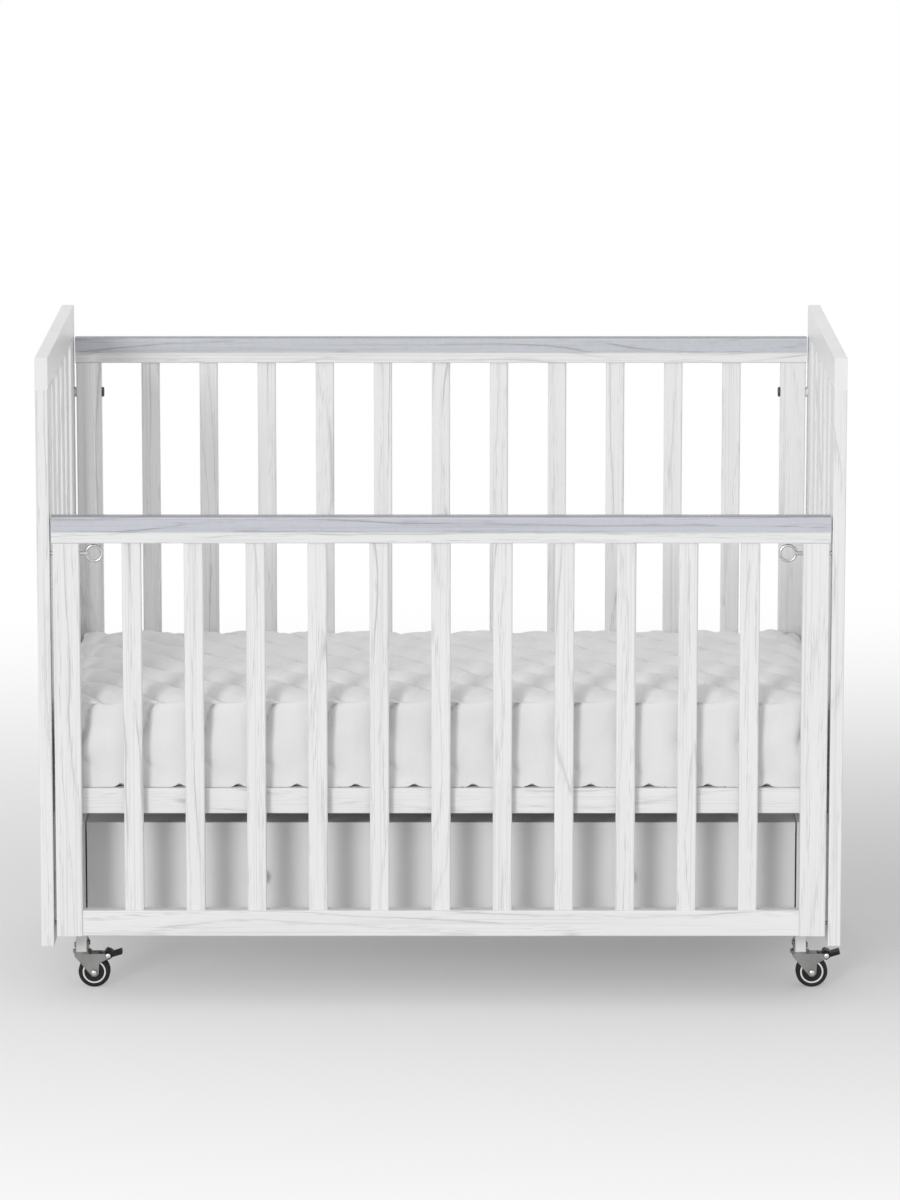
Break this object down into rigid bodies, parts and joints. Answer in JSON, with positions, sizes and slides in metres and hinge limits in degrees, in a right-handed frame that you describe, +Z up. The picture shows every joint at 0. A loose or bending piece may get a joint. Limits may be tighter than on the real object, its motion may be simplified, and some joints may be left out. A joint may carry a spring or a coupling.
{
  "type": "pendulum crib",
  "caption": "White slatted pendulum crib with a mattress, a side that slides down on spring pins, and a wheeled pedestal with a drawer that the crib swings over.",
  "frame": {"origin": "on the floor under the middle of the crib", "axes": "+X along the length to the right, +Y to the fixed rear side, +Z up"},
  "size_m": [1.2525, 0.65, 1.02],
  "materials": {
    "ash_white": "satin",
    "smooth_white": "satin",
    "panel_white": "matte",
    "batten_wood": "matte",
    "clear_strip": "gloss",
    "mattress_cover": "matte",
    "zinc_steel": "satin",
    "dark_bolt": "satin",
    "bright_pin": "polished",
    "spring_steel": "satin",
    "white_nylon": "matte",
    "black_plastic": "matte",
    "black_tyre": "matte",
    "buffer_rubber": "matte"
  },
  "bodies": {
    "pedestal": {"pedestal_side_left": "panel_white", "pedestal_side_right": "panel_white", "pedestal_top_rail": "panel_white", "pedestal_back": "panel_white", "pedestal_screws": "zinc_steel", "drawer_runners": "batten_wood", "swing_tracks": "zinc_steel", "swing_buffers": "buffer_rubber", "castor_brackets": "zinc_steel"},
    "drawer": {"drawer_front": "panel_white", "drawer_sides": "panel_white", "drawer_back": "panel_white", "drawer_bottom": "panel_white", "drawer_knobs": "smooth_white", "knob_screws": "zinc_steel"},
    "crib": {"end_caps": "smooth_white", "end_posts": "ash_white", "end_slats": "ash_white", "end_bottom_rails": "ash_white", "rear_top_rail": "ash_white", "rear_rail_strip": "clear_strip", "rear_stiles": "ash_white", "rear_bottom_rail": "ash_white", "rear_slats": "ash_white", "rear_side_bolts": "dark_bolt", "rear_side_spacers": "white_nylon", "base_rails": "ash_white", "base_ledgers": "batten_wood", "base_slats": "batten_wood", "base_bolts": "zinc_steel", "mattress": "mattress_cover", "roller_bolts": "zinc_steel"},
    "drop_side": {"drop_top_rail": "ash_white", "drop_rail_strip": "clear_strip", "drop_stiles": "ash_white", "drop_bottom_rail": "ash_white", "drop_slats": "ash_white", "drop_guide_pins": "zinc_steel", "latch_spring_left": "spring_steel", "latch_spring_right": "spring_steel"},
    "latch_left": {"latch_pin_left": "bright_pin"},
    "latch_right": {"latch_pin_right": "bright_pin"},
    "roller_front_right": {"swing_roller_front_right": "white_nylon"},
    "roller_front_left": {"swing_roller_front_left": "white_nylon"},
    "roller_rear_right": {"swing_roller_rear_right": "white_nylon"},
    "roller_rear_left": {"swing_roller_rear_left": "white_nylon"},
    "castor_front_right": {"castor_fork_front_right": "zinc_steel"},
    "wheel_front_right": {"castor_tyre_front_right": "black_tyre", "castor_hub_front_right": "black_plastic"},
    "brake_front_right": {"brake_pedal_front_right": "black_plastic"},
    "castor_rear_right": {"castor_fork_rear_right": "zinc_steel"},
    "wheel_rear_right": {"castor_tyre_rear_right": "black_tyre", "castor_hub_rear_right": "black_plastic"},
    "castor_front_left": {"castor_fork_front_left": "zinc_steel"},
    "wheel_front_left": {"castor_tyre_front_left": "black_tyre", "castor_hub_front_left": "black_plastic"},
    "brake_front_left": {"brake_pedal_front_left": "black_plastic"},
    "castor_rear_left": {"castor_fork_rear_left": "zinc_steel"},
    "wheel_rear_left": {"castor_tyre_rear_left": "black_tyre", "castor_hub_rear_left": "black_plastic"}
  },
  "joints": [
    {"name": "swing", "type": "hinge", "parent": "pedestal", "child": "crib", "pos_m": [0, 0, 1.3], "axis": [1, 0, 0], "range_deg": [-2.5, 2.5]},
    {"name": "drop_side_slide", "type": "slide", "parent": "crib", "child": "drop_side", "axis": [0, 0, 1], "range_m": [0, 0.195]},
    {"name": "latch_left_pull", "type": "slide", "parent": "drop_side", "child": "latch_left", "axis": [1, 0, 0], "range_m": [0, 0.01], "stiffness_N_per_m": 400, "springref_m": -0.012, "deforming": ["latch_spring_left"]},
    {"name": "latch_right_pull", "type": "slide", "parent": "drop_side", "child": "latch_right", "axis": [-1, 0, 0], "range_m": [0, 0.01], "stiffness_N_per_m": 400, "springref_m": -0.012, "deforming": ["latch_spring_right"]},
    {"name": "drawer_slide", "type": "slide", "parent": "pedestal", "child": "drawer", "axis": [0, -1, 0], "range_m": [0, 0.036]},
    {"name": "roller_front_right_spin", "type": "hinge", "parent": "crib", "child": "roller_front_right", "pos_m": [0.575, -0.13, 0.165], "axis": [1, 0, 0], "range_deg": [-184, 184]},
    {"name": "roller_front_left_spin", "type": "hinge", "parent": "crib", "child": "roller_front_left", "pos_m": [-0.575, -0.13, 0.165], "axis": [1, 0, 0], "range_deg": [-184, 184]},
    {"name": "roller_rear_right_spin", "type": "hinge", "parent": "crib", "child": "roller_rear_right", "pos_m": [0.575, 0.13, 0.165], "axis": [1, 0, 0], "range_deg": [-184, 184]},
    {"name": "roller_rear_left_spin", "type": "hinge", "parent": "crib", "child": "roller_rear_left", "pos_m": [-0.575, 0.13, 0.165], "axis": [1, 0, 0], "range_deg": [-184, 184]},
    {"name": "swivel_front_right", "type": "hinge", "parent": "pedestal", "child": "castor_front_right", "pos_m": [0.567, -0.19, 0.0545], "axis": [0, 0, 1], "continuous": true},
    {"name": "roll_front_right", "type": "hinge", "parent": "castor_front_right", "child": "wheel_front_right", "pos_m": [0.586, -0.19, 0.025], "axis": [0, 1, 0], "continuous": true},
    {"name": "brake_front_right_press", "type": "hinge", "parent": "castor_front_right", "child": "brake_front_right", "pos_m": [0.6085, -0.19, 0.052], "axis": [0, 1, 0], "range_deg": [0, 14]},
    {"name": "swivel_rear_right", "type": "hinge", "parent": "pedestal", "child": "castor_rear_right", "pos_m": [0.567, 0.19, 0.0545], "axis": [0, 0, 1], "continuous": true},
    {"name": "roll_rear_right", "type": "hinge", "parent": "castor_rear_right", "child": "wheel_rear_right", "pos_m": [0.586, 0.19, 0.025], "axis": [0, 1, 0], "continuous": true},
    {"name": "swivel_front_left", "type": "hinge", "parent": "pedestal", "child": "castor_front_left", "pos_m": [-0.567, -0.19, 0.0545], "axis": [0, 0, 1], "continuous": true},
    {"name": "roll_front_left", "type": "hinge", "parent": "castor_front_left", "child": "wheel_front_left", "pos_m": [-0.548, -0.19, 0.025], "axis": [0, 1, 0], "continuous": true},
    {"name": "brake_front_left_press", "type": "hinge", "parent": "castor_front_left", "child": "brake_front_left", "pos_m": [-0.5255, -0.19, 0.052], "axis": [0, 1, 0], "range_deg": [0, 14]},
    {"name": "swivel_rear_left", "type": "hinge", "parent": "pedestal", "child": "castor_rear_left", "pos_m": [-0.567, 0.19, 0.0545], "axis": [0, 0, 1], "continuous": true},
    {"name": "roll_rear_left", "type": "hinge", "parent": "castor_rear_left", "child": "wheel_rear_left", "pos_m": [-0.548, 0.19, 0.025], "axis": [0, 1, 0], "continuous": true}
  ],
  "couplings": [
    {"joint": "roller_front_right_spin", "follows": "swing", "ratio": -72.42},
    {"joint": "roller_front_left_spin", "follows": "swing", "ratio": -72.42},
    {"joint": "roller_rear_right_spin", "follows": "swing", "ratio": -72.42},
    {"joint": "roller_rear_left_spin", "follows": "swing", "ratio": -72.42}
  ]
}
